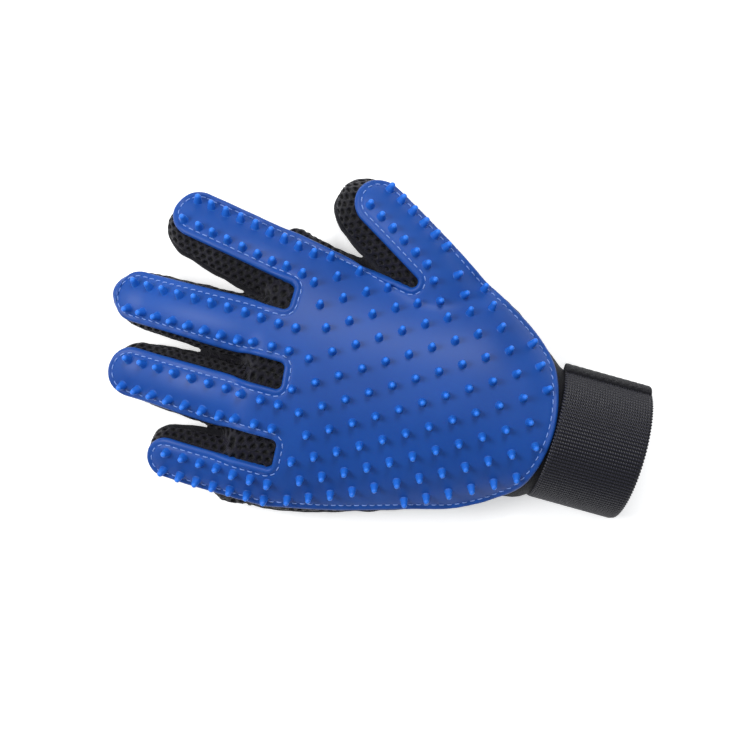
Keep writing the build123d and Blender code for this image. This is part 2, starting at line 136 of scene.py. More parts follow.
class Finger:
    """A finger sleeve, as in part.py, with its share of the pad.

    rows: (distance, half width, half thickness, centre height).  bend: where its fabric starts and
    ends turning.  pad: sideways place, half width and tip of its lobe.  pins: sideways place of its
    two rows of pins, half the distance between them, pitch, the first pair's distance, and pairs.
    """

    def __init__(self, name, angle, lateral, roll, rows, tip, bend, pad, pins):
        turn, lean = math.radians(angle), math.radians(roll)
        self.name = name
        self.along = np.array((-math.cos(turn), math.sin(turn), 0.0))
        self.side = np.array((math.sin(turn), math.cos(turn), 0.0))
        self.normal = self.side * math.sin(lean) + UP * math.cos(lean)
        self.across = self.side * math.cos(lean) - UP * math.sin(lean)
        self.lateral = lateral
        self.rows = np.array(rows)
        self.tip = tip
        self.bend = bend
        self.pad_lateral, self.pad_half, self.pad_tip = pad
        self.pin_lateral, self.pin_row, self.pin_pitch, self.pin_from, self.pin_count = pins

    def row_at(self, distance):
        """Half width, half thickness and centre height at distances along the finger."""
        s0, s1, s2 = self.rows[:, 0]
        s = np.clip(distance, s0, s2)
        weights = ((s - s1) * (s - s2) / ((s0 - s1) * (s0 - s2)),
                   (s - s0) * (s - s2) / ((s1 - s0) * (s1 - s2)),
                   (s - s0) * (s - s1) / ((s2 - s0) * (s2 - s1)))
        row = sum(np.multiply.outer(weight, values) for weight, values in zip(weights, self.rows[:, 1:]))
        share = np.clip((distance - s2) / (self.tip - s2), 0.0, 0.995)
        shrink = np.sqrt(1.0 - share ** 2)
        return row[..., 0] * shrink, row[..., 1] * shrink, row[..., 2]

    def local(self, points):
        """Distance along the finger, and place across and out of its seam plane."""
        distance = points @ self.along
        height = points[..., 2] - self.row_at(distance)[2]
        off = points @ self.side - self.lateral
        upright, tilt = self.normal[2], self.normal @ self.side
        return distance, off * upright - height * tilt, off * tilt + height * upright

    def nearness(self, points):
        """About 1 on the sleeve's surface, less inside it and more away from it."""
        distance, across, out = self.local(points)
        row = self.rows[np.clip(np.searchsorted(self.rows[:, 0], distance), 0, 2)]
        return np.hypot(across / row[..., 1], out / row[..., 2])


FINGERS = [
    Finger("index", 10.0, 14.4, 31.0,
           [(46.0, 15.8, 10.8, 12.7), (75.0, 16.2, 10.8, 12.8), (90.0, 14.5, 9.5, 11.5)],
           107.5, (56.5, 68.0), (20.1, 10.4, 105.5), (19.2, 4.8, 6.9, 42.6, 9)),
    Finger("middle", 0.0, -5.2, 8.0,
           [(44.0, 13.4, 12.2, 22.1), (80.0, 13.4, 11.0, 18.2), (103.0, 12.6, 8.8, 10.2)],
           116.0, (56.0, 68.5), (-4.6, 10.6, 116.8), (-5.2, 4.8, 7.2, 35.3, 11)),
    Finger("ring", 0.0, -34.9, -11.0,
           [(44.0, 14.4, 12.0, 20.6), (76.0, 14.2, 11.0, 17.2), (97.0, 12.6, 8.8, 10.2)],
           109.6, (54.0, 66.5), (-36.6, 10.2, 110.4), (-36.9, 5.0, 7.5, 33.75, 10)),
    Finger("little", 0.0, -64.4, -31.0,
           [(42.0, 14.2, 9.8, 11.9), (64.0, 14.0, 9.8, 12.0), (74.0, 12.6, 9.2, 11.2)],
           85.2, (52.5, 62.0), (-67.8, 8.4, 83.7), (-68.4, 3.6, 7.4, 30.3, 7)),
    Finger("thumb", 31.0, 39.0, 31.0,
           [(-16.0, 13.0, 8.0, 12.6), (22.0, 16.6, 11.3, 14.2), (46.0, 16.2, 10.6, 13.4)],
           62.4, (19.0, 34.0), (43.9, 10.7, 55.6), (44.7, 5.3, 6.8, 12.7, 6)),
]
THUMB = FINGERS[-1]


def smoothstep(value, low, high):
    t = np.clip((value - low) / (high - low), 0.0, 1.0)
    return t * t * (3 - 2 * t)


# ---------------------------------------------------------------- making pieces
def piece(name, points, faces, material, body, replaced, slot=None):
    """One object from points in millimetres, parented to a body, or for a Finger left unparented with its
    placement applied.
    """
    mesh = bpy.data.meshes.new(name)
    mesh.from_pydata([tuple(p) for p in np.asarray(points) * MM], [], faces)
    mesh.update()
    mesh.shade_smooth()
    obj = bpy.data.objects.new(name, mesh)
    bpy.context.scene.collection.objects.link(obj)
    mesh.materials.append(material)
    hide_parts(*replaced)
    if isinstance(body, Finger):
        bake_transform(obj)
    else:
        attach(obj, body)
    return obj


def give_attribute(obj, name, values):
    """A number or a vector at each point of a piece, which its material reads."""
    kind = "FLOAT_VECTOR" if values.ndim == 2 else "FLOAT"
    attribute = obj.data.attributes.new(name, kind, "POINT")
    key = "vector" if values.ndim == 2 else "value"
    attribute.data.foreach_set(key, values.astype(np.float32).ravel())


def set_normals(obj, normals):
    obj.data.normals_split_custom_set_from_vertices([tuple(n) for n in normals])


def grid_faces(rows, columns, closed, first=0):
    """Quads between rows of points, each row closed on itself or open."""
    faces = []
    for i in range(rows - 1):
        for j in range(columns if closed else columns - 1):
            k = (j + 1) % columns
            faces.append((first + i * columns + j, first + i * columns + k,
                          first + (i + 1) * columns + k, first + (i + 1) * columns + j))
    return faces


def join(parts):
    """Points and faces of several meshes as one."""
    points, faces, count = [], [], 0
    for part_points, part_faces in parts:
        points.append(np.asarray(part_points, float))
        faces += [tuple(count + index for index in face) for face in part_faces]
        count += len(part_points)
    return np.concatenate(points), faces


# ---------------------------------------------------------------- fabric skin
def ellipse(centre, a, b, count):
    """Points round an ellipse with half axes a and b."""
    angles = np.linspace(0, 2 * math.pi, count, endpoint=False)
    return centre + np.outer(np.cos(angles), a) + np.outer(np.sin(angles), b)

def tube(rings):
    """Closed mesh through rings of points."""
    count = len(rings[0])
    points = np.concatenate(rings)
    faces = grid_faces(len(rings), count, True)
    faces.append(tuple(reversed(range(count))))
    faces.append(tuple(range(len(points) - count, len(points))))
    return points, faces


def finger_tube(finger):
    last = finger.rows[2, 0]
    cap = [last + (finger.tip - last) * share for share in (0.25, 0.45, 0.62, 0.77, 0.88, 0.95, 0.99)]
    rings = []
    for distance in list(np.linspace(finger.rows[0, 0], last, 12)) + cap:
        width, thick, height = finger.row_at(np.array(distance))
        centre = finger.along * distance + finger.side * finger.lateral + UP * height
        rings.append(ellipse(centre, finger.across * width, finger.normal * thick, 40))
    return tube(rings)


def curve(p0, p1, p2, p3, t):
    """The smooth curve from p1 to p2 at t, which comes from p0 and goes on to p3."""
    return 0.5 * (2 * p1 + (p2 - p0) * t + (2 * p0 - 5 * p1 + 4 * p2 - p3) * t ** 2
                  + (3 * p1 - p0 - 3 * p2 + p3) * t ** 3)

def station_at(x):
    """Both sides, crown and underside of the palm at x, on smooth curves through the stations."""
    known = PALM_STATIONS[:, 0]
    i = int(np.clip(np.searchsorted(known, x) - 1, 0, len(known) - 2))
    t = min(max((x - known[i]) / (known[i + 1] - known[i]), 0.0), 1.0)
    return curve(*PALM_STATIONS[[max(i - 1, 0), i, i + 1, min(i + 2, len(known) - 1)], 1:], t)

def arc_through(start, middle, end, count):
    """Points on the circle through three points of a plane."""
    a, b, c = (complex(*p) for p in (start, middle, end))
    w = (c - a) / (b - a)
    centre = a + (b - a) * (w - abs(w) ** 2) / (2j * w.imag)
    first, mid, last = (np.angle(p - centre) for p in (a, b, c))
    turn = (last - first) % (2 * math.pi)
    if (mid - first) % (2 * math.pi) > turn:
        turn -= 2 * math.pi
    angles = first + turn * np.linspace(0, 1, count)
    radius = abs(a - centre)
    return [(centre.real + radius * math.cos(t), centre.imag + radius * math.sin(t)) for t in angles]


def palm_ring(x):
    """The hand's outline in the plane at x: an arched palm side, round sides and a flat back."""
    low, high, crown, under = station_at(x)
    slack = CUFF_SLACK * math.exp(-((x - STRAP_START + 4.0) / 7.0) ** 2)
    low, high = low - 2 * slack, high + slack
    corner = SEAM_HEIGHT - under
    dip = corner * (1 - math.sqrt(0.5))
    outline = arc_through((low, SEAM_HEIGHT), ((low + high) / 2, crown), (high, SEAM_HEIGHT), 40)
    outline += arc_through((high, SEAM_HEIGHT), (high - dip, under + dip), (high - corner, under), 10)[1:]
    outline += arc_through((low + corner, under), (low + dip, under + dip), (low, SEAM_HEIGHT), 10)[:-1]
    return np.array([(x, y, z) for y, z in outline])


def palm_tube():
    """The palm and cuff, rounded off in front to the webs between the fingers."""
    first, last = PALM_STATIONS[0, 0], PALM_STATIONS[-1, 0]
    rings = []
    for turn in np.radians((88, 75, 60, 45, 30, 15)):
        ring = palm_ring(first + 2.0)
        middle = np.array((0.0, ring[:, 1].mean(), SEAM_HEIGHT - 3.0))
        shrink = np.array((1.0, NOSE_WIDTH + (1 - NOSE_WIDTH) * math.cos(turn),
                           NOSE_HEIGHT + (1 - NOSE_HEIGHT) * math.cos(turn)))
        ring = middle + (ring - middle) * shrink
        ring[:, 0] = first + 5.0 - NOSE * math.sin(turn)
        rings.append(ring)
    rings += [palm_ring(x) for x in np.linspace(first + 5.0, last, 38)]
    return tube(rings + [palm_ring(CUFF_END + 6.0)])


def smooth_skin():
    """The whole glove as one smooth closed skin, open at the wrist."""
    points, faces = join([palm_tube()] + [finger_tube(finger) for finger in FINGERS])
    mesh = bpy.data.meshes.new("skin")
    mesh.from_pydata([tuple(p) for p in points], [], faces)
    obj = bpy.data.objects.new("skin", mesh)
    bpy.context.scene.collection.objects.link(obj)
    remesh = obj.modifiers.new("remesh", "REMESH")
    remesh.mode = "VOXEL"
    remesh.voxel_size = VOXEL
    smooth = obj.modifiers.new("smooth", "SMOOTH")
    smooth.factor = 0.6
    smooth.iterations = 8
    bm = bmesh.new()
    bm.from_object(obj, bpy.context.evaluated_depsgraph_get())
    bpy.data.objects.remove(obj)
    bpy.data.meshes.remove(mesh)
    bmesh.ops.bisect_plane(bm, geom=bm.verts[:] + bm.edges[:] + bm.faces[:], dist=1e-4,
                           plane_co=(CUFF_END, 0, 0), plane_no=(1, 0, 0), clear_outer=True)
    return bm

def positions(bm):
    return np.array([v.co for v in bm.verts])


def finger_share(points):
    """Which finger a point is nearest to, and how far it belongs to that finger, 0 to 1."""
    nearness = np.array([finger.nearness(points) for finger in FINGERS])
    distances = np.array([points @ finger.along for finger in FINGERS])
    reach = np.array([finger.bend[0] for finger in FINGERS])[:, None]
    nearness[distances < reach - WEAVE_TURN - 2.0] = 99.0
    nearest = nearness.argmin(axis=0)
    index = np.arange(len(points))
    start = reach[:, 0][nearest]
    share = smoothstep(distances[nearest, index], start - WEAVE_TURN, start)
    share[nearness[nearest, index] > FINGER_REACH] = 0.0
    return nearest, share


def seam_height(points):
    """Signed distance from the side seam, above it on the palm side."""
    nearest, share = finger_share(points)
    value = points[:, 2] - SEAM_HEIGHT
    for k, finger in enumerate(FINGERS):
        mine = nearest == k
        out = finger.local(points[mine])[2]
        value[mine] += (out - value[mine]) * share[mine]
    return value


def weave_place(points):
    """Where a point of the skin lies on the flat fabric: along and round the hand, in millimetres."""
    nearest, share = finger_share(points)
    flat = points[:, :2].copy()
    for k, finger in enumerate(FINGERS):
        mine = nearest == k
        distance, across, out = finger.local(points[mine])
        width, thick, _ = finger.row_at(np.minimum(distance, finger.rows[2, 0]))
        round_it = np.arctan2(across / width, out / thick) * (width + thick) / 2
        root = finger.along * finger.bend[0] + finger.side * finger.lateral
        on_finger = np.stack([root[0] + finger.bend[0] - distance, root[1] + round_it], axis=1)
        flat[mine] += (on_finger - flat[mine]) * share[mine][:, None]
    return flat


def cut_along(bm, field):
    """Edges across which field changes sign are split there, so that faces lie on one side."""
    bm.verts.index_update()
    values = field(positions(bm))
    made = []
    for edge in list(bm.edges):
        a, b = (values[v.index] for v in edge.verts)
        if a * b < 0:
            made.append(bmesh.utils.edge_split(edge, edge.verts[0], a / (a - b))[1])
    bmesh.ops.connect_verts(bm, verts=made)


def hole_share(flat):
    """From 0 on the cords of the air mesh to 1 in the middle of its hexagonal holes."""
    row = HOLE_PITCH * math.sqrt(3)
    best = np.full(len(flat), 99.0)
    for shift in ((0.0, 0.0), (HOLE_PITCH / 2, row / 2)):
        u = (flat[:, 0] + shift[0] + HOLE_PITCH / 2) % HOLE_PITCH - HOLE_PITCH / 2
        v = (flat[:, 1] + shift[1] + row / 2) % row - row / 2
        best = np.minimum(best, np.hypot(u, v))
    return 1.0 - smoothstep(best, HOLE_RADIUS * 0.45, HOLE_RADIUS * 1.35)


def wobble(points, size):
    return np.array([noise.noise(Vector(p) / size) for p in points])


# ---------------------------------------------------------------- plan of the pad
def meeting(p, direction, q, other):
    """Where two lines in plan cross."""
    matrix = np.array([direction[:2], -np.asarray(other)[:2]]).T
    t = np.linalg.solve(matrix, np.asarray(q)[:2] - np.asarray(p)[:2])[0]
    return np.asarray(p)[:2] + np.asarray(direction)[:2] * t


def lobe_side(finger, sign):
    """A point on the straight side of a finger's lobe."""
    return finger.side * (finger.pad_lateral + sign * finger.pad_half)


def rounded(corner, before, after):
    """An arc in place of a corner, between the directions to its neighbours."""
    into = (before - corner) / np.linalg.norm(before - corner)
    out = (after - corner) / np.linalg.norm(after - corner)
    half = math.acos(np.clip(into @ out, -1, 1)) / 2
    centre = corner + (into + out) / np.linalg.norm(into + out) * CORNER_RADIUS / math.sin(half)
    reach = CORNER_RADIUS / math.tan(half)
    start, end = corner + into * reach - centre, corner + out * reach - centre
    steps = np.linspace(0, 1, 7)[:, None]
    arc = start * (1 - steps) + end * steps
    return list(centre + arc / np.linalg.norm(arc, axis=1)[:, None] * CORNER_RADIUS)


def spline_points(points, count):
    """Points on a smooth curve through the given ones."""
    points = np.asarray(points)
    padded = np.vstack([2 * points[0] - points[1], points, 2 * points[-1] - points[-2]])
    made = [curve(*padded[i - 1:i + 3], t) for i in range(1, len(padded) - 2)
            for t in np.linspace(0, 1, count, endpoint=False)]
    return made + [points[-1]]

def lobe_tip(finger):
    """Half circle round a lobe's tip, from its thumb side to its little-finger side."""
    middle = finger.along * (finger.pad_tip - finger.pad_half) + finger.side * finger.pad_lateral
    angles = np.linspace(0, math.pi, 25)
    arc = (np.outer(np.cos(angles), finger.side) + np.outer(np.sin(angles), finger.along))
    return list((middle + arc * finger.pad_half)[:, :2])


def pad_outline(spacing):
    """Evenly spaced points round the pad: heel from the little finger to the thumb, then the lobes."""
    order = [THUMB] + FINGERS[:-1]
    outline = spline_points(PAD_EDGE, 12)
    for finger, web in zip(order, PAD_WEBS + [None]):
        outline += lobe_tip(finger)
        if web is None:
            continue
        following = order[order.index(finger) + 1]
        a, b = np.array(web[0]), np.array(web[1])
        first = meeting(lobe_side(finger, -1), finger.along, a, b - a)
        second = meeting(a, b - a, lobe_side(following, 1), following.along)
        tip = lobe_tip(following)[0]
        outline += rounded(first, outline[-1], second) + rounded(second, first, tip)
    return resampled(np.array(outline), spacing)


def run_along(path):
    """Distance along a path at each of its points."""
    return np.concatenate([[0], np.cumsum(np.linalg.norm(np.diff(path, axis=0), axis=1))])

def at_distances(path, run, at):
    return np.stack([np.interp(at, run, path[:, 0]), np.interp(at, run, path[:, 1])], axis=1)

def resampled(outline, spacing):
    """Evenly spaced points round a closed outline."""
    closed = np.vstack([outline, outline[:1]])
    run = run_along(closed)
    return at_distances(closed, run, np.linspace(0, run[-1], int(run[-1] / spacing), endpoint=False))

def into_pad(outline):
    """Unit vectors into the pad at its outline, which runs with the pad on its left."""
    run = np.roll(outline, -2, axis=0) - np.roll(outline, 2, axis=0)
    turn = np.stack([-run[:, 1], run[:, 0]], axis=1)
    return turn / np.linalg.norm(turn, axis=1)[:, None]


def inside(points, outline):
    """Whether points of the plan lie in a closed outline."""
    x, y = points[:, 0:1], points[:, 1:2]
    x0, y0 = outline[:, 0], outline[:, 1]
    x1, y1 = np.roll(x0, -1), np.roll(y0, -1)
    crosses = ((y0 > y) != (y1 > y)) & (x < (x1 - x0) * (y - y0) / (y1 - y0 + 1e-12) + x0)
    return crosses.sum(axis=1) % 2 == 1


def gap_to(points, others):
    """Distance in plan from each point to the nearest of the others."""
    return np.array([np.hypot(*(others - p).T).min() for p in points])


class PadGround:
    """The smooth surface that the pad is sewn to: the skin from above, carried on past its edge."""

    STEP = 2.0
    LOW = np.array((-124.0, -90.0))
    SIZE = (106, 84)
    ABOVE = 90.0
    STEEPEST = 0.45     # least rise of the skin's normal where the pad can lie

    def __init__(self, tree):
        heights = np.full(self.SIZE, np.nan)
        for i, j in np.ndindex(self.SIZE):
            x, y = self.LOW + (i * self.STEP, j * self.STEP)
            spot, normal, _, _ = tree.ray_cast(Vector((x, y, self.ABOVE)), Vector((0, 0, -1)))
            if spot is not None and normal.z > self.STEEPEST:
                heights[i, j] = spot.z
        reached = ~np.isnan(heights)
        filled = np.where(reached, heights, 0.0)
        for _ in range(60):
            total, known = self.around(filled * reached), self.around(reached.astype(float))
            grown = ~reached & (known > 0)
            filled = np.where(grown, total / np.maximum(known, 1), filled)
            reached |= grown
        for _ in range(5):
            filled = (filled + self.around(filled) / 4) / 2
        self.heights = filled

    @staticmethod
    def around(grid):
        """Sum of each cell's four neighbours."""
        return np.roll(grid, 1, 0) + np.roll(grid, -1, 0) + np.roll(grid, 1, 1) + np.roll(grid, -1, 1)

    def height(self, plan):
        at = (plan - self.LOW) / self.STEP
        i, j = np.clip(at.astype(int), 0, np.array(self.SIZE) - 2).T
        u, v = at[:, 0] - i, at[:, 1] - j
        h = self.heights
        a = h[i, j] * (1 - v) + h[i, j + 1] * v
        b = h[i + 1, j] * (1 - v) + h[i + 1, j + 1] * v
        return a * (1 - u) + b * u

    def raised(self, plan, lift):
        """Points a height above the surface along its normals, and those normals."""
        plan = np.asarray(plan, float)
        reach = 1.5
        dx = (self.height(plan + (reach, 0)) - self.height(plan - (reach, 0))) / (2 * reach)
        dy = (self.height(plan + (0, reach)) - self.height(plan - (0, reach))) / (2 * reach)
        normals = np.stack([-dx, -dy, np.ones(len(plan))], axis=1)
        normals /= np.linalg.norm(normals, axis=1)[:, None]
        base = np.column_stack([plan, self.height(plan)])
        return base + normals * lift, normals


# ---------------------------------------------------------------- pad, pins and threads
def pad_sheet(ground, outline):
    """The pad's face and rounded rim as one mesh, without pins."""
    inner = into_pad(outline)
    rows = [ground.raised(outline + inner * depth, height)[0] for depth, height in RIM]
    points = np.concatenate(rows)
    faces = grid_faces(len(rows), len(outline), True)
    rim = outline + inner * RIM[-1][0]
    spacing = 1.6
    xs = np.arange(rim[:, 0].min(), rim[:, 0].max(), spacing)
    ys = np.arange(rim[:, 1].min(), rim[:, 1].max(), spacing * 0.866)
    lattice = np.array([(x + spacing / 2 * (j % 2), y) for j, y in enumerate(ys) for x in xs])
    lattice = lattice[inside(lattice, rim)]
    lattice = lattice[gap_to(lattice, rim) > spacing * 0.6]
    plan = np.concatenate([rim, lattice])
    edges = [(k, (k + 1) % len(rim)) for k in range(len(rim))]
    verts, _, triangles, *_ = geometry.delaunay_2d_cdt([Vector(p) for p in plan], edges, [], 1, 1e-6)
    assert len(verts) == len(plan)
    middle = ground.raised(lattice, PAD)[0]
    first = len(points) - len(outline)
    faces += [tuple(first + index for index in triangle) for triangle in triangles]
    return np.concatenate([points, middle]), faces


def pin_mesh(point, normal, size):
    """A soft moulded pin with a spread foot, tapered sides and a round top."""
    foot, top, height = size
    profile = [(foot + 0.45, -0.15), (foot + 0.22, 0.06), (foot + 0.08, 0.25), (foot + 0.01, 0.55),
               (foot - 0.03, 1.0), (top + 0.02, height - top)]
    profile += [(top * math.cos(t), height - top + top * math.sin(t))
                for t in np.radians((18, 36, 54, 70, 83))]
    side = Vector(normal).orthogonal().normalized()
    other = Vector(normal).cross(side)
    points = np.concatenate([ellipse(point + normal * h, np.array(side) * r, np.array(other) * r, PIN_SIDES)
                             for r, h in profile])
    faces = grid_faces(len(profile), PIN_SIDES, True)
    faces.append(tuple(range(len(points) - PIN_SIDES, len(points))))
    return points, faces

def finger_pin_places(finger):
    """Plan places of a finger's two rows of pins."""
    steps = finger.pin_from + finger.pin_pitch * np.arange(finger.pin_count)
    return [(finger.along * at + finger.side * (finger.pin_lateral + side))[:2]
            for at in steps for side in (-finger.pin_row, finger.pin_row)]

def palm_pin_places(outline, taken):
    """The square grid of pins wrapped over the palm's arch."""
    turn = math.radians(PALM_TURN)
    places = []
    for i in range(-14, 15):
        for j in range(-14, 15):
            u = (i * math.cos(turn) - j * math.sin(turn)) * PALM_PITCH
            v = (i * math.sin(turn) + j * math.cos(turn)) * PALM_PITCH
            x = PALM_PIN_AT[0] + u
            y = PALM_PIN_AT[1] + ARCH_RADIUS * math.sin(v / ARCH_RADIUS)
            along = np.array((x, y, 0)) @ THUMB.along
            off = np.array((x, y, 0)) @ THUMB.side - THUMB.pad_lateral
            on_thumb = along > THUMB_ROWS and abs(off) < THUMB.pad_half + LOBE_REACH
            if abs(v) < ARCH_RADIUS and x > FINGER_ROWS and not on_thumb:
                places.append((x, y))
    places = np.array(places)
    places = places[inside(places, outline)]
    places = places[gap_to(places, outline) > PIN_MARGIN]
    return places[gap_to(places, taken) > PIN_SPACING]


def thread_mesh(point, run, normal):
    """One stitch: a short round thread that dips into the sheet at both ends."""
    length, radius = STITCH_LENGTH / 2, STITCH_WIDTH / 2
    side = np.cross(normal, run)
    rings = []
    for t in (-1.0, -0.86, -0.6, -0.25, 0.25, 0.6, 0.86, 1.0):
        centre = point + run * (t * length) + normal * (0.22 - 0.55 * t ** 4)
        end = max(abs(t) - 0.75, 0.0)
        size = radius * math.sqrt(max(1.0 - end ** 2 * 9.0, 0.15))
        rings.append(ellipse(centre, side * size, normal * size * 0.9, 8))
    return tube(rings)

def owner_of(plan):
    """The index of the finger whose lobe each place in plan belongs to, or -1 for the palm."""
    flat = np.column_stack([plan, np.zeros(len(plan))])
    owner = np.full(len(plan), -1)
    for k, finger in enumerate(FINGERS):
        off = flat @ finger.side - finger.pad_lateral
        owner[(np.abs(off) < finger.pad_half + LOBE_REACH) & (flat @ finger.along > finger.bend[0])] = k
    return owner

def build_pad(ground, materials):
    outline = pad_outline(0.7)
    points, faces = pad_sheet(ground, outline)
    centres = np.array([points[list(face)].mean(axis=0) for face in faces])
    face_owner = owner_of(centres[:, :2])
    normals = vertex_normals(points, faces)

    taken = np.array([place for finger in FINGERS for place in finger_pin_places(finger)])
    grid = palm_pin_places(outline, taken)
    sizes = [FINGER_PIN] * len(taken) + [PALM_PIN] * len(grid)
    places = np.concatenate([taken, grid])
    spots, spot_normals = ground.raised(places, PAD)
    pin_owner = owner_of(places)

    line = resampled(outline + into_pad(outline) * EDGE_BAND, STITCH_PITCH)
    run = np.roll(line, -1, axis=0) - np.roll(line, 1, axis=0)
    thread_spots, thread_normals = ground.raised(line, CHANNEL)
    thread_owner = owner_of(line)

    for k in range(-1, len(FINGERS)):
        body = FINGERS[k] if k >= 0 else "palm"
        part = FINGERS[k].name if k >= 0 else "palm"
        chosen = [faces[i] for i in np.flatnonzero(face_owner == k)]
        sheet_points, sheet_faces, used = compact(points, chosen)
        pins = [pin_mesh(spots[i], spot_normals[i], sizes[i]) for i in np.flatnonzero(pin_owner == k)]
        all_points, all_faces = join([(sheet_points, sheet_faces)] + pins)
        obj = piece(f"{part}_silicone", all_points, all_faces, materials["silicone"], body,
                    [f"{part}_pad"], "silicone")
        own = vertex_normals(all_points, all_faces)
        own[:len(used)] = normals[used]
        set_normals(obj, own)
        # how far up each pin a point lies, which the silicone turns into a painted highlight, lighter towards
        # the pins' tops
        pin_highlight_share = np.repeat(np.linspace(0.1, 1, PIN_RINGS), PIN_SIDES)
        give_attribute(obj, "pin", np.concatenate([np.zeros(len(used)), np.tile(pin_highlight_share, len(pins))]))
        threads = []
        for i in np.flatnonzero(thread_owner == k):
            along = np.array((*run[i], 0.0))
            along -= thread_normals[i] * (along @ thread_normals[i])
            threads.append(thread_mesh(thread_spots[i], along / np.linalg.norm(along), thread_normals[i]))
        piece(f"{part}_pad_thread", *join(threads), materials["pad_thread"], body,
              [f"{part}_pad_stitches"], "pad_thread")

def vertex_normals(points, faces):
    """Area-weighted normals at the points of a mesh."""
    normals = np.zeros_like(points)
    triangles = np.array([(face[0], face[i], face[i + 1]) for face in faces for i in range(1, len(face) - 1)])
    a, b, c = (points[triangles[:, i]] for i in range(3))
    area = np.cross(b - a, c - a)
    for i in range(3):
        np.add.at(normals, triangles[:, i], area)
    return normals / np.maximum(np.linalg.norm(normals, axis=1), 1e-12)[:, None]


def compact(points, faces):
    """Only the points that the faces use, with the faces renumbered."""
    used = np.unique([index for face in faces for index in face])
    new = {old: i for i, old in enumerate(used)}
    return points[used], [tuple(new[index] for index in face) for face in faces], used


# ---------------------------------------------------------------- fabric pieces
def build_fabric(bm, materials):
    """The skin cut into palm-side and back-side fabric, by finger, each with a thickness."""
    cut_along(bm, seam_height)
    cut_along(bm, lambda points: points[:, 0] - LINING_START)
    outline = pad_outline(1.5)
    centres = np.array([face.calc_center_median() for face in bm.faces])
    open_mesh = (seam_height(centres) > -0.5) & (centres[:, 0] < LINING_START)
    covered = inside(centres[:, :2], outline) & (gap_to(centres[:, :2], outline) > 2.5)
    wanted = open_mesh & ~covered
    fine = dict.fromkeys(edge for face, use in zip(bm.faces, wanted) if use for edge in face.edges)
    bmesh.ops.subdivide_edges(bm, edges=list(fine), cuts=1, use_grid_fill=True)
    bmesh.ops.recalc_face_normals(bm, faces=bm.faces[:])
    bm.verts.index_update()
    points = positions(bm)
    faces = [tuple(v.index for v in face.verts) for face in bm.faces]
    bm.free()

    base_normals = vertex_normals(points, faces)
    flat = weave_place(points)
    seam = seam_height(points)
    x = points[:, 0]
    on_palm_side = smoothstep(seam, 0.3, 1.6) * (1.0 - smoothstep(x, LINING_START - 1.5, LINING_START))
    groove = np.maximum(np.exp(-(seam / SEAM_WIDTH) ** 2) * (1 - smoothstep(x, 60.0, 75.0)),
                        np.exp(-((x - LINING_START) / SEAM_WIDTH) ** 2) * 0.6)
    free = 1.0 - inside(points[:, :2], outline) * (seam > 0)
    crumple = wobble(points, 9.0) * 0.55 + wobble(points + 50.0, 4.0) * 0.25
    lift = crumple * free * (1 - smoothstep(x, 60.0, 72.0))
    lift -= SEAM_GROOVE * groove + HOLE_DEPTH * hole_share(flat) * on_palm_side
    shaped = points + base_normals * lift[:, None]
    shaped[:, 2] = np.maximum(shaped[:, 2], FLOOR_GAP)
    inner = points - base_normals * FABRIC
    inner[:, 2] = np.maximum(inner[:, 2], FLOOR_GAP + FABRIC * 0.6)
    layers = (faces, shaped, inner, vertex_normals(shaped, faces), flat, on_palm_side)

    centres = np.array([points[list(face)].mean(axis=0) for face in faces])
    side = seam_height(centres) > 0
    lining = centres[:, 0] > LINING_START
    nearest, _ = finger_share(centres)
    distances = np.array([centres @ finger.along for finger in FINGERS])
    nearness = np.array([finger.nearness(centres) for finger in FINGERS])
    starts = np.array([finger.bend[0] for finger in FINGERS])
    index = np.arange(len(centres))
    reach = np.where(nearest == len(FINGERS) - 1, THUMB_REACH, FINGER_REACH)
    on_finger = (distances[nearest, index] > starts[nearest]) & (nearness[nearest, index] < reach)
    body_of_face = np.where(on_finger, nearest, -1)

    for k in range(-1, len(FINGERS)):
        body = FINGERS[k] if k >= 0 else "palm"
        prefix = f"{FINGERS[k].name}_" if k >= 0 else ""
        mine = (body_of_face == k) & ~lining
        for node, slot, chosen in (("palm_mesh", "air_mesh", mine & side),
                                   ("back_mesh", "back_knit", mine & ~side)):
            shell(f"{prefix}{node}_fabric", chosen, layers, materials[slot], body, prefix + node, slot)
    shell("cuff_fabric", lining, layers, materials["cuff_knit"], "palm", "cuff_lining", "cuff_knit")

def shell(name, chosen, layers, material, body, node, slot):
    """Fabric with an outside, an inside and a closed edge round it."""
    faces, outer, inner, normals, flat, open_share = layers
    points, faces, used = compact(outer, [faces[i] for i in np.flatnonzero(chosen)])
    count = len(used)
    edges = {}
    for face in faces:
        for a, b in zip(face, face[1:] + face[:1]):
            if (b, a) in edges:
                del edges[(b, a)]
            else:
                edges[(a, b)] = True
    faces = faces + [tuple(count + i for i in reversed(face)) for face in faces]
    faces += [(b, a, count + a, count + b) for a, b in edges]
    obj = piece(name, np.concatenate([points, inner[used]]), faces, material, body, [node], slot)
    set_normals(obj, np.concatenate([normals[used], -normals[used]]))
    weave = np.column_stack([flat[used], np.zeros(count)])
    give_attribute(obj, "weave", np.concatenate([weave, weave]))
    give_attribute(obj, "open", np.concatenate([open_share[used], np.zeros(count)]))

# ---------------------------------------------------------------- cuff and strap
def on_ring(radius, angle):
    turn = math.radians(angle)
    return np.array((CUFF_Y + radius * math.cos(turn), CUFF_Z + radius * math.sin(turn)))


def ring_path(radius, first, last, count=60):
    return [on_ring(radius, angle) for angle in np.linspace(first, last, count)]

def even_path(path, spacing):
    """Evenly spaced points of a path, their distances along it, and unit vectors out of it."""
    path = np.array(path)
    run = run_along(path)
    at = np.linspace(0, run[-1], max(int(run[-1] / spacing), 4))
    centre = at_distances(path, run, at)
    ahead = np.gradient(centre, axis=0)
    out = np.stack([ahead[:, 1], -ahead[:, 0]], axis=1) / np.linalg.norm(ahead, axis=1)[:, None]
    return centre, at, out

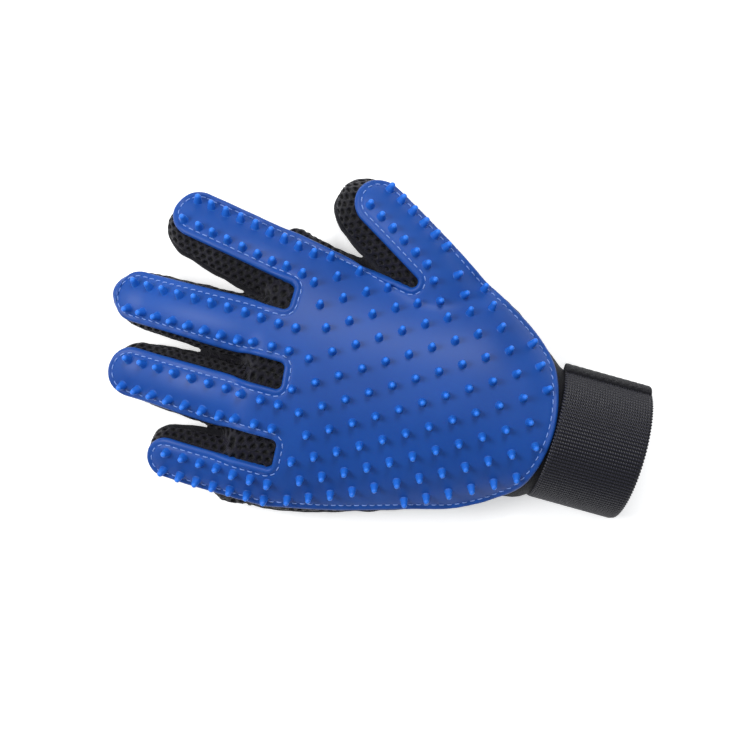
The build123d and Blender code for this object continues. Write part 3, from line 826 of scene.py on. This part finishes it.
def strip_row(columns, centre, out, half):
    """One row of points across a strip, half over its middle."""
    return np.column_stack([columns, centre[0] + out[0] * half, centre[1] + out[1] * half])

def two_sided(rows, count):
    """Faces of a strip: its outer grid of points, its inner one, and the edge round them."""
    lower = rows * count
    faces = grid_faces(rows, count, False)
    faces += [tuple(reversed(face)) for face in grid_faces(rows, count, False, lower)]
    rim = [i * count for i in range(rows)] + [lower - count + j for j in range(1, count)]
    rim += [i * count + count - 1 for i in reversed(range(rows - 1))] + list(range(count - 2, 0, -1))
    return faces + [(a, b, lower + b, lower + a) for a, b in zip(rim, rim[1:] + rim[:1])]

def webbing_band(path):
    """Ribbed webbing whose middle follows a path in the YZ plane.  Returns points, faces, weave."""
    centre, at, out = even_path(path, RIB_PITCH / 6)
    rib = 0.5 - 0.5 * np.cos(2 * math.pi * at / RIB_PITCH)
    columns = np.linspace(STRAP_START, STRAP_END, BAND_COLUMNS)
    edge = np.minimum(columns - STRAP_START, STRAP_END - columns)
    slim = 0.35 + 0.65 * np.sqrt(np.clip(edge / (WEBBING / 2), 0.0, 1.0))
    jag = np.zeros(BAND_COLUMNS)
    jag[0], jag[-1] = -0.35, 0.35
    points, weave = [], []
    for sign in (1.0, -1.0):
        for k in range(len(at)):
            half = (WEBBING / 2 - RIB_HEIGHT + RIB_HEIGHT * rib[k]) * slim * sign
            points.append(strip_row(columns + jag * rib[k], centre[k], out[k], half))
            weave.append(np.column_stack([columns, np.full(BAND_COLUMNS, at[k]), np.zeros(BAND_COLUMNS)]))
    return np.concatenate(points), two_sided(len(at), BAND_COLUMNS), np.concatenate(weave)

def cuff_outline(grow):
    """The cuff's section from its thumb side round the back to its little-finger side."""
    low, high, _, under = PALM_STATIONS[-1, 1:]
    low, high, under = low - grow, high + grow, under - grow
    corner = SEAM_HEIGHT - under
    dip = corner * (1 - math.sqrt(0.5))
    outline = arc_through((high, SEAM_HEIGHT), (high - dip, under + dip), (high - corner, under), 14)
    outline += arc_through((low + corner, under), (low + dip, under + dip), (low, SEAM_HEIGHT), 14)
    return outline


def thread_row(start, count, place, normal):
    """Stitches along the strap's width from start on, at a place in the YZ plane."""
    run = np.array((1.0, 0.0, 0.0))
    spots = [np.array((start + (k + 0.5) * STITCH_PITCH, *place)) for k in range(count)]
    return join([thread_mesh(spot, run, normal) for spot in spots])

def ring_threads(radius, angle, start, end):
    turn = math.radians(angle)
    normal = np.array((0.0, math.cos(turn), math.sin(turn)))
    return thread_row(start, int((end - start) / STITCH_PITCH), on_ring(radius, angle), normal)

def build_strap(materials):
    fold = ring_path(TAIL_RADIUS - WEBBING / 2, TAIL_FOLD + 18.0, TAIL_FOLD + 1.0, 12)
    points, faces, weave = webbing_band(cuff_outline(WEBBING / 2))
    more, more_faces, more_weave = webbing_band(fold)
    points, faces = join([(points, faces), (more, more_faces)])
    obj = piece("strap_band", points, faces, materials["webbing"], "palm", ["strap_webbing"], "webbing")
    give_attribute(obj, "weave", np.concatenate([weave, more_weave]))

    tail = ring_path(TAIL_RADIUS - WEBBING / 2, TAIL_FOLD + 2.0, TAIL_TIP + 2.0, 120)
    points, faces, weave = webbing_band(tail)
    obj = piece("strap_tail_band", points, faces, materials["webbing"], "tail", ["strap_tail"], "webbing")
    give_attribute(obj, "weave", weave)

    points, faces, weave = rolled_hem()
    obj = piece("strap_hem", points, faces, materials["cuff_knit"], "tail", ["strap_end_binding"], "binding")
    give_attribute(obj, "weave", weave)

    patch(materials, "hook_tape", "tail", "hook_patch", TAIL_RADIUS - WEBBING - PATCH / 2,
          PATCH_TIP, PATCH_FOLD, STRAP_END - 1.5)
    patch(materials, "loop_tape", "palm", "loop_patch", CUFF_RADIUS + PATCH / 2,
          PATCH_TIP - 2, PATCH_FOLD + 26, CUFF_END - 1.5)
    loop_rows = join([ring_threads(CUFF_RADIUS + PATCH, angle, STRAP_START + 2.5, CUFF_END - 2.5)
                      for angle in (PATCH_TIP, PATCH_FOLD + 24)])
    end_row = ring_threads(TAIL_RADIUS + HEM_TAPE, HEM_COVER - 2.5, STRAP_START + 1.0, STRAP_END - 1.0)
    anchor = (PALM_STATIONS[-1, 2] + WEBBING, SEAM_HEIGHT - 1.0)
    anchor_row = thread_row(STRAP_START + 3.0, 9, anchor, np.array((0.0, 1.0, 0.0)))
    for name, body, node, row in (("loop_tape_thread", "palm", "loop_patch_stitches", loop_rows),
                                  ("strap_end_thread", "tail", "strap_end_stitches", end_row),
                                  ("strap_anchor_thread", "palm", "strap_anchor_stitches", anchor_row)):
        piece(name, *row, materials["black_thread"], body, [node], "black_thread")
    mouth_binding(materials)

def rolled_hem():
    """The tail's end rolled into a soft hem, with puckers at its stitches."""
    steps = ((0.0, -1.3), (0.4, -0.5), (1.5, -0.15), (2.5, -0.35), (4.0, 0.1), (7.0, 0.3), (10.0, 0.3),
             (HEM_COVER - TAIL_TIP - 2.0, 0.1))
    section = [on_ring(TAIL_RADIUS + HEM_TAPE + lift, HEM_COVER - back) for back, lift in steps]
    y, z = on_ring(TAIL_RADIUS - WEBBING / 2, TAIL_TIP)
    section += [(y + HEM_RADIUS * math.cos(t), z + HEM_RADIUS * math.sin(t))
                for t in np.radians(np.linspace(10, -190, 14))]
    section += [on_ring(TAIL_RADIUS - 0.3, TAIL_TIP + 6.0)]
    section = np.array(section)
    middle = section.mean(axis=0)
    run = run_along(section)
    rings, weave = [], []
    for x in np.linspace(STRAP_START, STRAP_END, 96):
        end = min(x - STRAP_START, STRAP_END - x)
        squeeze = 1.0 - 0.05 * (0.5 + 0.5 * math.cos(2 * math.pi * x / STITCH_PITCH))
        squeeze *= min(1.0, 0.8 + end * 0.4)
        rings.append(np.column_stack([np.full(len(section), x), middle + (section - middle) * squeeze]))
        weave.append(np.column_stack([np.full(len(section), x), run, np.zeros(len(section))]))
    points, faces = tube(rings)
    return points, faces, np.concatenate(weave)


def patch(materials, name, body, node, radius, first, last, end):
    """Hook or loop tape: a bristly strip."""
    centre, at, out = even_path(ring_path(radius, last, first), 0.8)
    columns = np.linspace(STRAP_START + 1.5, end, TAPE_COLUMNS)
    points = []
    for sign in (1.0, -1.0):
        for k in range(len(at)):
            rough = np.array([noise.noise(Vector((x * 1.7, at[k] * 1.7, sign * 9.0))) for x in columns])
            half = (PATCH / 2 - BRISTLE + BRISTLE * rough) * sign
            points.append(strip_row(columns, centre[k], out[k], half))
    piece(name, np.concatenate(points), two_sided(len(at), TAPE_COLUMNS), materials[node], body, [node], node)

def mouth_binding(materials):
    """Soft tape sewn round the inside of the wrist's mouth."""
    low, high, crown, _ = PALM_STATIONS[-1, 1:]
    grow = -FABRIC - 0.4
    top = ((low + high) / 2, crown + grow)
    outline = arc_through((low - grow, SEAM_HEIGHT), top, (high + grow, SEAM_HEIGHT), 40)
    outline += cuff_outline(grow)[1:-1]
    outline = np.array(outline)
    away = outline - outline.mean(axis=0)
    away /= np.linalg.norm(away, axis=1)[:, None]
    rings = []
    for x, lift in ((CUFF_END - 4.0, 0.1), (CUFF_END - 3.6, -0.5), (CUFF_END - 2.0, -0.7),
                    (CUFF_END - 0.3, -0.5), (CUFF_END, 0.1), (CUFF_END - 0.3, 0.4), (CUFF_END - 3.6, 0.4)):
        rings.append(np.column_stack([np.full(len(outline), x), outline + away * lift]))
    count = len(outline)
    faces = grid_faces(len(rings), count, True)
    last = (len(rings) - 1) * count
    faces += [(last + j, last + (j + 1) % count, (j + 1) % count, j) for j in range(count)]
    piece("cuff_mouth_tape", np.concatenate(rings), faces, materials["cuff_knit"], "palm",
          ["cuff_edge_binding"], "binding")


# ---------------------------------------------------------------- materials
def linear(red, green, blue):
    """A scene-linear colour from its 0 to 255 screen values."""
    channels = (red / 255, green / 255, blue / 255)
    return tuple(c / 12.92 if c <= 0.04045 else ((c + 0.055) / 1.055) ** 2.4 for c in channels) + (1.0,)


class Look:
    """A node material under construction."""

    def __init__(self, name):
        self.material = bpy.data.materials.new(name)
        self.material.use_nodes = True
        self.nodes = self.material.node_tree.nodes
        self.links = self.material.node_tree.links
        self.shader = self.nodes["Principled BSDF"]

    def add(self, kind, inputs=(), **settings):
        node = self.nodes.new(kind)
        for key, value in settings.items():
            setattr(node, key, value)
        for key, value in dict(inputs).items():
            if isinstance(value, bpy.types.NodeSocket):
                self.links.new(value, node.inputs[key])
            else:
                node.inputs[key].default_value = value
        return node

    def math(self, operation, a, b=0.0):
        return self.add("ShaderNodeMath", {0: a, 1: b}, operation=operation).outputs[0]

    def ramp(self, value, low, high):
        """value carried from the range low to a range of 0 to 1."""
        return self.add("ShaderNodeMapRange", {"Value": value, "From Min": low, "From Max": high}).outputs[0]

    def between(self, value, first, second):
        node = self.add("ShaderNodeMix", {0: value}, data_type="RGBA")
        for socket, colour in ((6, first), (7, second)):
            if isinstance(colour, bpy.types.NodeSocket):
                self.links.new(colour, node.inputs[socket])
            else:
                node.inputs[socket].default_value = colour
        return node.outputs[2]

    def place(self):
        """Coordinates on the object, in metres."""
        return self.add("ShaderNodeTexCoord").outputs["Object"]

    def noise(self, scale, detail=3.0):
        inputs = {"Scale": scale, "Detail": detail, "Vector": self.place()}
        return self.add("ShaderNodeTexNoise", inputs).outputs["Fac"]

    def attribute(self, name, output):
        return self.add("ShaderNodeAttribute", attribute_name=name).outputs[output]

    def bump(self, height, strength, distance):
        node = self.add("ShaderNodeBump", {"Height": height, "Strength": strength, "Distance": distance})
        self.links.new(node.outputs[0], self.shader.inputs["Normal"])

    def give(self, **sockets):
        for key, value in sockets.items():
            socket = self.shader.inputs[key.replace("_", " ")]
            if isinstance(value, bpy.types.NodeSocket):
                self.links.new(value, socket)
            else:
                socket.default_value = value
        return self.material


def silicone():
    """Matt moulded silicone, a little dusty, with a painted highlight that lightens each pin towards its top.
    """
    look = Look("silicone")
    pin = look.attribute("pin", "Fac")
    patchy = look.noise(28.0, 4.0)
    base = look.between(look.ramp(patchy, 0.35, 0.7), linear(18, 68, 146), linear(23, 76, 158))
    # painted highlight: the pins blend from the pad's blue to a light blue at their tops
    colour = look.between(look.ramp(pin, 0.0, 1.0), base, linear(42, 124, 236))
    grain = look.noise(2600.0, 2.0)
    look.bump(grain, 0.08, 0.0002)
    rough = look.add("ShaderNodeMapRange", {"Value": patchy, "To Min": 0.40, "To Max": 0.52}).outputs[0]
    return look.give(Base_Color=colour, Roughness=rough, Subsurface_Weight=0.15, Subsurface_Scale=0.002,
                     Specular_IOR_Level=0.3)


def thread(name, colour, other):
    """Twisted sewing thread, with painted shade darker in the grooves of its twist."""
    look = Look(name)
    twist = look.add("ShaderNodeTexWave", {"Scale": 900.0, "Distortion": 2.0, "Vector": look.place()},
                     bands_direction="DIAGONAL").outputs["Fac"]
    # painted shade: lighter on the twist's ridges, darker in its grooves
    tint = look.between(twist, other, colour)
    look.bump(twist, 0.4, 0.0002)
    return look.give(Base_Color=tint, Roughness=0.6, Sheen_Weight=0.1)


def knit(name, light, pitch, depth, rough, fuzzy, soft):
    """Fine knit: staggered little loops along the fabric, with fuzz; painted shade darkens it between the
    loops, and its tone also varies at random.
    """
    look = Look(name)
    split = look.add("ShaderNodeSeparateXYZ", {0: look.attribute("weave", "Vector")})
    u = look.math("MULTIPLY", split.outputs[0], 2 * math.pi / pitch)
    v = look.math("MULTIPLY", split.outputs[1], 2 * math.pi / pitch)
    rows = look.math("SINE", u)
    wale = look.math("SINE", look.math("ADD", v, look.math("MULTIPLY", rows, 0.9)))
    loops = look.math("MULTIPLY", look.math("ABSOLUTE", wale), look.math("ABSOLUTE", look.math("SINE", u)))
    fuzz = look.noise(1500.0, 3.0)
    height = look.math("ADD", loops, look.math("MULTIPLY", fuzz, 0.5))
    uneven = look.ramp(look.noise(45.0, 3.0), 0.3, 0.75)
    # painted shade: darker between the loops and lighter on their crests, plus tone that varies at random
    tone = look.math("MULTIPLY", look.math("ADD", look.math("MULTIPLY", loops, 0.7), uneven), 0.6)
    colour = look.between(tone, linear(6, 6, 9), light)
    look.bump(height, 0.7, depth)
    return look.give(Base_Color=colour, Roughness=rough, Specular_IOR_Level=0.3,
                     Sheen_Weight=fuzzy, Sheen_Roughness=soft)


def hole_distance(look, place):
    """Distance to the middle of the nearest hexagonal hole, from a place on the flat fabric."""
    row = HOLE_PITCH * math.sqrt(3)
    distances = []
    for shift in ((0.0, 0.0), (HOLE_PITCH / 2, row / 2)):
        squares = []
        for k, pitch in enumerate((HOLE_PITCH, row)):
            moved = look.math("ADD", place.outputs[k], shift[k])
            limits = {0: moved, 1: pitch / 2, 2: -pitch / 2}
            wrapped = look.add("ShaderNodeMath", limits, operation="WRAP").outputs[0]
            squares.append(look.math("MULTIPLY", wrapped, wrapped))
        distances.append(look.math("SQRT", look.math("ADD", *squares)))
    return look.math("MINIMUM", *distances)


def air_mesh():
    """Open hexagonal mesh of soft cords, with painted shade that makes its holes near black and darkens the
    cords between their twisted strands.
    """
    look = Look("air_mesh")
    place = look.add("ShaderNodeSeparateXYZ", {0: look.attribute("weave", "Vector")})
    ragged = look.math("MULTIPLY", look.math("SUBTRACT", look.noise(420.0, 2.0), 0.5), 0.9)
    distance = look.math("ADD", hole_distance(look, place), ragged)
    cord = look.ramp(distance, HOLE_RADIUS * 0.7, HOLE_RADIUS * 1.5)
    solid = look.math("MAXIMUM", cord, look.math("SUBTRACT", 1.0, look.attribute("open", "Fac")))
    twist = look.math("SINE", look.math("MULTIPLY", look.math("ADD", place.outputs[0], place.outputs[1]),
                                        2 * math.pi / 0.55))
    strand = look.math("MULTIPLY", look.ramp(twist, -1.0, 1.0), 0.3)
    look.bump(look.math("ADD", solid, strand), 1.0, 0.0009)
    # painted shade: near black in the holes and darker between the strands' twists, with tone that varies at
    # random
    tone = look.math("MULTIPLY", solid, look.math("ADD", strand, look.ramp(look.noise(60.0, 3.0), 0.1, 0.9)))
    colour = look.between(tone, linear(1, 1, 2), linear(28, 25, 40))
    return look.give(Base_Color=colour, Roughness=0.5, Specular_IOR_Level=0.35,
                     Sheen_Weight=0.05, Sheen_Roughness=0.4)


def webbing():
    """Woven webbing: slanted yarns over each rib, with painted shade near black in the valleys between the
    ribs and darker between the yarns.
    """
    look = Look("webbing")
    split = look.add("ShaderNodeSeparateXYZ", {0: look.attribute("weave", "Vector")})
    across, along = split.outputs[0], split.outputs[1]
    slant = look.math("ADD", look.math("MULTIPLY", across, 2 * math.pi / YARN_PITCH),
                      look.math("MULTIPLY", along, 2 * math.pi / RIB_PITCH))
    yarn = look.ramp(look.math("SINE", slant), -1.0, 1.0)
    rib = look.ramp(look.math("COSINE", look.math("MULTIPLY", along, 2 * math.pi / RIB_PITCH)), 1.0, -1.0)
    fuzz = look.noise(1800.0, 3.0)
    height = look.math("ADD", look.math("MULTIPLY", yarn, 0.7), look.math("MULTIPLY", fuzz, 0.35))
    # painted shade: dark in the rib valleys and between the slanted yarns, light on their crests
    tone = look.math("MULTIPLY", look.math("ADD", look.math("MULTIPLY", yarn, 0.4), 0.6), rib)
    colour = look.between(tone, linear(1, 1, 2), linear(30, 29, 46))
    look.bump(height, 0.8, 0.0004)
    return look.give(Base_Color=colour, Roughness=0.42, Specular_IOR_Level=0.45)


def tape(name, scale, light):
    """Hook or loop tape: dense short pile, with painted shade darker between its tufts and lighter on their
    tips.
    """
    look = Look(name)
    pile = look.add("ShaderNodeTexVoronoi", {"Scale": scale, "Vector": look.place()})
    # painted shade: light on the pile's raised tips, dark in the hollows between them
    tone = look.ramp(pile.outputs["Distance"], 0.0, 0.6)
    colour = look.between(tone, light, linear(8, 8, 10))
    look.bump(look.math("SUBTRACT", 1.0, tone), 0.9, 0.0008)
    return look.give(Base_Color=colour, Roughness=0.65, Sheen_Weight=0.5, Sheen_Roughness=0.4)


def all_materials():
    return {
        "silicone": silicone(),
        "pad_thread": thread("pad_thread", linear(134, 164, 222), linear(84, 122, 200)),
        "black_thread": thread("black_thread", linear(38, 38, 44), linear(14, 14, 17)),
        "air_mesh": air_mesh(),
        "back_knit": knit("back_knit", linear(26, 25, 36), 1.1, 0.0005, 0.78, 0.06, 0.45),
        "cuff_knit": knit("cuff_knit", linear(20, 20, 29), 0.8, 0.0003, 0.7, 0.05, 0.4),
        "webbing": webbing(),
        "hook_patch": tape("hook_tape", 900.0, linear(44, 44, 50)),
        "loop_patch": tape("loop_tape", 600.0, linear(38, 38, 46)),
    }


# ---------------------------------------------------------------- stage, light and camera
def build_stage():
    """A wide pale floor under the glove."""
    bpy.ops.mesh.primitive_plane_add(size=6.0, location=(0, 0, 0))
    floor = bpy.context.object
    floor.name = "floor"
    look = Look("floor")
    shade = look.between(look.noise(3.0), linear(250, 250, 250), linear(255, 255, 255))
    floor.data.materials.append(look.give(Base_Color=shade, Roughness=0.9, Specular_IOR_Level=0.1,
                                          Emission_Color=linear(255, 255, 255), Emission_Strength=0.4))


def soft_light(name, place, target, size, power):
    data = bpy.data.lights.new(name, "AREA")
    data.shape = "DISK"
    data.size = size
    data.energy = power
    obj = bpy.data.objects.new(name, data)
    bpy.context.scene.collection.objects.link(obj)
    obj.location = place
    obj.rotation_euler = (Vector(target) - Vector(place)).to_track_quat("-Z", "Y").to_euler()


VIEW_RIGHT = Vector((0.9636, 0.2672, 0.0))
VIEW_UP = Vector((-0.2672, 0.9636, 0.0))


def build_light():
    world = bpy.data.worlds.new("studio")
    bpy.context.scene.world = world
    world.use_nodes = True
    background = world.node_tree.nodes["Background"]
    background.inputs["Color"].default_value = (0.93, 0.96, 1.0, 1.0)
    background.inputs["Strength"].default_value = 0.34
    bpy.context.scene.view_settings.view_transform = "Standard"
    soft_light("key", VIEW_UP * 0.55 + VIEW_RIGHT * 0.12 + Vector((0, 0, 0.75)), (0, 0, 0), 0.35, 4.1)
    soft_light("left", -VIEW_RIGHT * 0.58 + VIEW_UP * 0.12 + Vector((0, 0, 0.66)), (-0.05, 0, 0), 0.42, 4.8)
    soft_light("overhead", Vector((0.08, -0.03, 0.95)), (0.08, 0, 0), 0.05, 0.5)


def build_camera():
    """Straight above the hand, as in the photograph, turned so that the fingers point left."""
    data = bpy.data.cameras.new("camera")
    data.lens = 51.4
    data.sensor_width = 36.0
    obj = bpy.data.objects.new("camera", data)
    bpy.context.scene.collection.objects.link(obj)
    turn = Matrix((VIEW_RIGHT, VIEW_UP, Vector((0, 0, 1)))).transposed().to_4x4()
    obj.matrix_world = Matrix.Translation((0.00142, -0.00985, 0.478)) @ turn
    bpy.context.scene.camera = obj


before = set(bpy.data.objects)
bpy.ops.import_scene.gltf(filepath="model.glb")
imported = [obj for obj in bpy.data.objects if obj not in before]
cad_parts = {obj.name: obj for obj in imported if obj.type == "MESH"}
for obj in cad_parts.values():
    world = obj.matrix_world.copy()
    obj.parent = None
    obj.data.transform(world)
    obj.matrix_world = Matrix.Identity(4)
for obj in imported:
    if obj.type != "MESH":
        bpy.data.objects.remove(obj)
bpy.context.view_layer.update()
materials = all_materials()
skin = smooth_skin()
build_pad(PadGround(BVHTree.FromBMesh(skin)), materials)
build_fabric(skin, materials)
build_strap(materials)
build_stage()
build_light()
build_camera()
